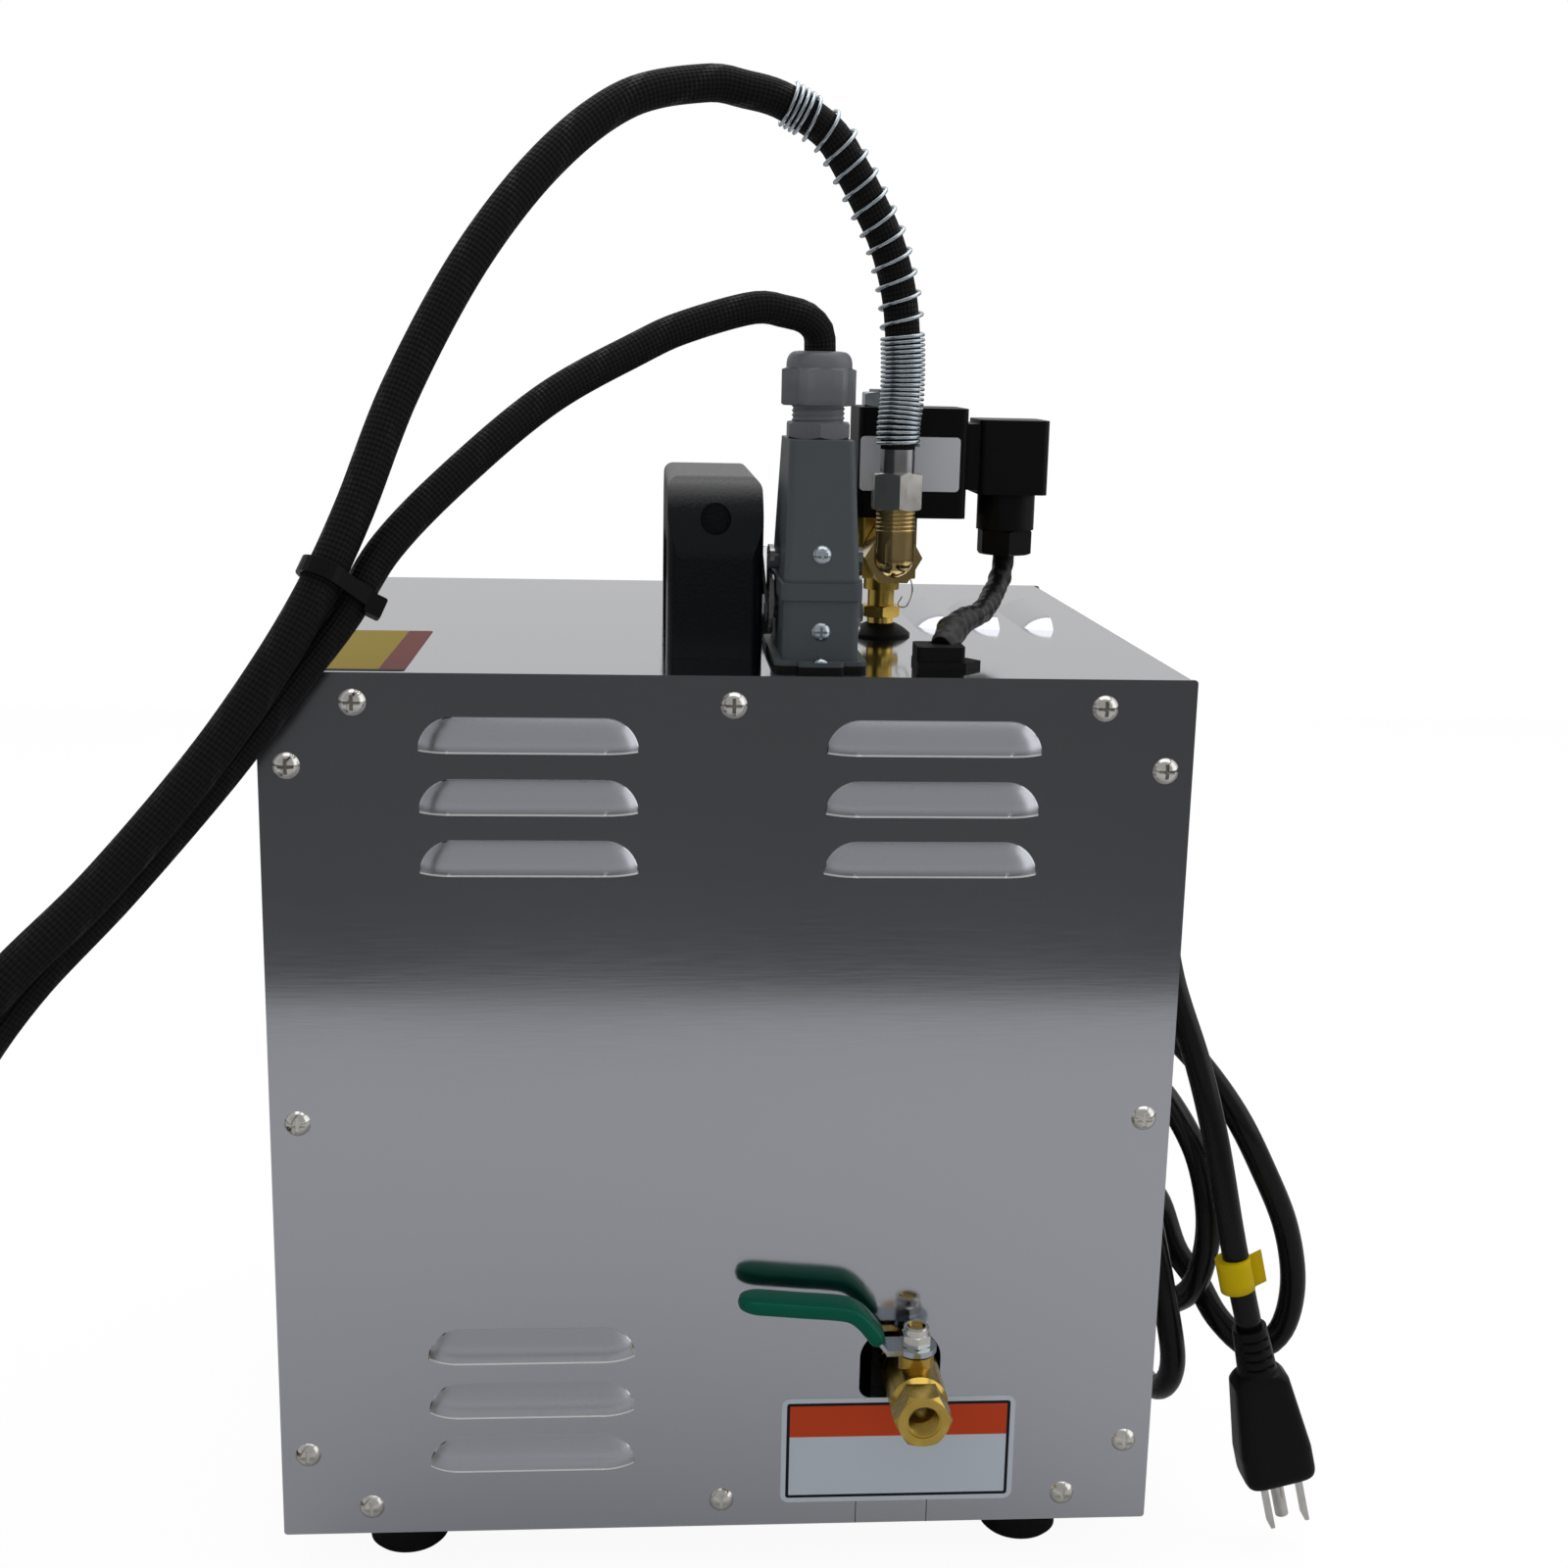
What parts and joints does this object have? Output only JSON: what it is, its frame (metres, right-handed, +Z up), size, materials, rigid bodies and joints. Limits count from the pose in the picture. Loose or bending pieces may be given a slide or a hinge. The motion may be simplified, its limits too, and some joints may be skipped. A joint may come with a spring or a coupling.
{
  "type": "steam iron boiler",
  "caption": "Sheet-metal steam boiler for a hand iron: solenoid steam outlet with hose, iron power socket, drain valve with lever, carry handle and control panel.",
  "frame": {"origin": "centre of the footprint of the object without its cords, on the surface that the rubber feet stand on", "axes": "+Z up, +Y from the connection side with the drain valve towards the control panel, +X to the right seen from the connection side"},
  "size_m": [0.642, 0.3849, 0.5109],
  "materials": {
    "sheet": "satin stainless sheet, fine grain",
    "rear_sheet": "satin stainless panel, near-mirror",
    "top_sheet": "mirror-polished stainless sheet",
    "screw": "bright nickel-plated screw",
    "zinc": "blue-white zinc-plated steel",
    "rubber": "matt black rubber",
    "handle": "black moulded plastic, satin",
    "diecast": "dark grey powder-coated die casting",
    "gland": "grey moulded polyamide",
    "latch": "stamped steel",
    "brass": "machined brass, slightly tarnished",
    "bright_brass": "polished brass",
    "steel": "turned stainless steel",
    "coil": "black moulded resin",
    "din": "black moulded plastic",
    "sleeve": "wrinkled black sleeve",
    "braid": "black woven braid",
    "ptfe": "white PTFE",
    "ball": "chromed brass",
    "vinyl": "deep green vinyl dip",
    "lead": "black PVC",
    "blade": "nickel-plated brass",
    "tank": "welded stainless steel",
    "copper": "nickel-plated copper sheath",
    "gauge": "chromed bezel, white dial",
    "needle": "black painted needle",
    "lens": "clear glass",
    "switch": "black moulded plastic",
    "rocker": "red rocker",
    "lamp": "red lamp lens"
  },
  "bodies": {
    "root": {"base_tray": "sheet", "cabinet_wrap": "top_sheet", "rear_panel": "rear_sheet", "front_panel": "rear_sheet", "panel_screws": "screw", "rubber_feet": "rubber", "assembly_screws": "zinc", "carry_handle": "handle", "connector_gasket": "rubber", "connector_base": "diecast", "connector_hood": "diecast", "gland_body": "gland", "gland_nut": "gland", "column_grommet": "rubber", "steam_pipe": "brass", "valve_body": "brass", "plunger_tube": "steel", "plunger_spring": "steel", "solenoid_coil": "coil", "coil_nut": "zinc", "din_plug": "din", "plug_nut": "din", "coil_lead": "sleeve", "lead_grommet": "rubber", "outlet_elbow": "bright_brass", "hose_nut": "bright_brass", "hose_ferrule": "bright_brass", "spring_guard": "steel", "steam_hose": "braid", "steam_hose_coil": "braid", "hose_end_fitting": "bright_brass", "hose_strap": "rubber", "iron_cable": "braid", "iron_cable_coil": "braid", "iron_cable_plug": "din", "drain_pipe": "brass", "drain_valve_body": "brass", "ball_seats": "ptfe", "mains_boot": "lead", "mains_lead": "lead", "mains_plug": "lead", "plug_pins": "blade", "boiler_tank": "tank", "heater_element": "copper", "pressure_gauge": "gauge", "gauge_lens": "lens", "switch_frames": "switch", "pilot_lamps": "lamp"},
    "drain_handle": {"drain_lever": "zinc", "lever_grip": "vinyl", "lever_nut": "screw", "drain_stem": "brass", "drain_ball": "ball"},
    "latch": {"latch_lever": "latch"},
    "solenoid_plunger": {"plunger": "steel"},
    "needle": {"gauge_needle": "needle"},
    "main_rocker": {"rocker_main": "rocker"},
    "iron_rocker": {"rocker_iron": "rocker"},
    "cap": {"filler_cap": "din"}
  },
  "joints": [
    {"name": "drain_lever_turn", "type": "hinge", "parent": "root", "child": "drain_handle", "pos_m": [0.0645, -0.131, 0.0783], "axis": [0, 0, 1], "range_deg": [0, 90]},
    {"name": "latch_swing", "type": "hinge", "parent": "root", "child": "latch", "pos_m": [0.0285, -0.076, 0.335], "axis": [-1, 0, 0], "range_deg": [0, 35]},
    {"name": "plunger_lift", "type": "slide", "parent": "root", "child": "solenoid_plunger", "axis": [0, 0, 1], "range_m": [0, 0.003], "stiffness_N_per_m": 300, "springref_m": -0.003, "deforming": ["plunger_spring"]},
    {"name": "needle_sweep", "type": "hinge", "parent": "root", "child": "needle", "pos_m": [-0.07, 0.15, 0.23], "axis": [0, -1, 0], "range_deg": [0, 270]},
    {"name": "main_rocker_tilt", "type": "hinge", "parent": "root", "child": "main_rocker", "pos_m": [0.04, 0.142, 0.23], "axis": [-1, 0, 0], "range_deg": [0, 16]},
    {"name": "iron_rocker_tilt", "type": "hinge", "parent": "root", "child": "iron_rocker", "pos_m": [0.08, 0.142, 0.23], "axis": [-1, 0, 0], "range_deg": [0, 16]},
    {"name": "cap_turn", "type": "hinge", "parent": "root", "child": "cap", "pos_m": [0.0285, 0.075, 0.32], "axis": [0, 0, 1], "range_deg": [0, 360]}
  ]
}
